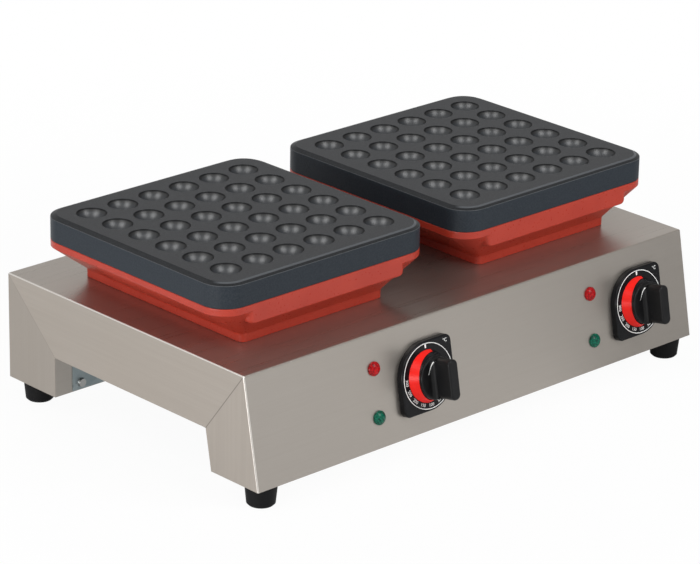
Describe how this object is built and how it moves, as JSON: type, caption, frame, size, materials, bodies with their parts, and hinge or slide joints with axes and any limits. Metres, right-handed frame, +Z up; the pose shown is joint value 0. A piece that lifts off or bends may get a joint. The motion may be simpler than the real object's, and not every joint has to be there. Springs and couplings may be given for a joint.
{
  "type": "poffertjes maker",
  "caption": "Countertop poffertjes maker: folded steel housing on rubber feet, red cast bodies under round-mould baking plates, thermostat dials and pilot lamps.",
  "frame": {"origin": "on the floor under the middle of the outside size, knobs and cable gland included", "axes": "+X along the length to the right as seen from the controls, +Y from the control panel to the rear, +Z up"},
  "size_m": [0.6012, 0.4315, 0.2062],
  "materials": {
    "black_plastic": "satin moulded",
    "black_wire": "satin",
    "blue_wire": "satin",
    "brass_screw": "plain",
    "brown_wire": "satin",
    "cast_plate": "fine cast, seasoned",
    "element_tube": "heat tinted",
    "fibre": "matte fibre",
    "foot_rubber": "matte",
    "galvanised": "dull zinc",
    "gasket": "matte",
    "green_lens": "clear tinted, glossy",
    "pale_plastic": "matte",
    "red_enamel": "glossy enamel",
    "red_lens": "clear tinted, glossy",
    "red_plastic": "glossy",
    "reflector": "bright",
    "screw_steel": "zinc plated",
    "sensor_metal": "plain",
    "stainless": "brushed along the length",
    "thermostat_case": "matte"
  },
  "bodies": {
    "cooker": {"baking_plate_left": "cast_plate", "baking_plate_right": "cast_plate", "bezel_left": "black_plastic", "bezel_right": "black_plastic", "body_gasket_left": "gasket", "body_gasket_right": "gasket", "body_screws": "screw_steel", "cable_gland": "black_plastic", "cast_body_left": "red_enamel", "cast_body_right": "red_enamel", "clamp_screws": "screw_steel", "cover_nuts": "screw_steel", "cover_screws": "screw_steel", "dial_wedge_left": "red_plastic", "dial_wedge_right": "red_plastic", "earth_nut": "brass_screw", "earth_screw": "brass_screw", "element_clamp_left": "galvanised", "element_clamp_right": "galvanised", "foot_front_left": "foot_rubber", "foot_front_right": "foot_rubber", "foot_nuts": "screw_steel", "foot_rear_left": "foot_rubber", "foot_rear_right": "foot_rubber", "foot_screws": "screw_steel", "gland_locknut": "black_plastic", "heating_element_left": "element_tube", "heating_element_right": "element_tube", "housing_shell": "stainless", "insulation_left": "fibre", "insulation_right": "fibre", "lamp_body_green_left": "pale_plastic", "lamp_body_green_right": "pale_plastic", "lamp_body_red_left": "pale_plastic", "lamp_body_red_right": "pale_plastic", "lamp_lens_green_left": "green_lens", "lamp_lens_green_right": "green_lens", "lamp_lens_red_left": "red_lens", "lamp_lens_red_right": "red_lens", "live_wire_left": "brown_wire", "live_wire_right": "brown_wire", "load_wire_left": "black_wire", "load_wire_right": "black_wire", "neutral_wire_left": "blue_wire", "neutral_wire_right": "blue_wire", "plate_screws": "screw_steel", "reflector_left": "reflector", "reflector_right": "reflector", "sensor_left": "sensor_metal", "sensor_right": "sensor_metal", "terminal_block": "pale_plastic", "terminal_screws": "screw_steel", "thermostat_left": "thermostat_case", "thermostat_right": "thermostat_case", "thermostat_screws": "screw_steel", "underside_cover": "galvanised"},
    "left_control": {"knob_left": "black_plastic", "spindle_left": "screw_steel"},
    "right_control": {"knob_right": "black_plastic", "spindle_right": "screw_steel"}
  },
  "joints": [
    {"name": "left_control_turn", "type": "hinge", "parent": "cooker", "child": "left_control", "pos_m": [-0.0781, -0.18578, 0.08009], "axis": [0, 0.9816, -0.191], "range_deg": [0, 270]},
    {"name": "right_control_turn", "type": "hinge", "parent": "cooker", "child": "right_control", "pos_m": [0.2219, -0.18578, 0.08009], "axis": [0, 0.9816, -0.191], "range_deg": [0, 270]}
  ]
}
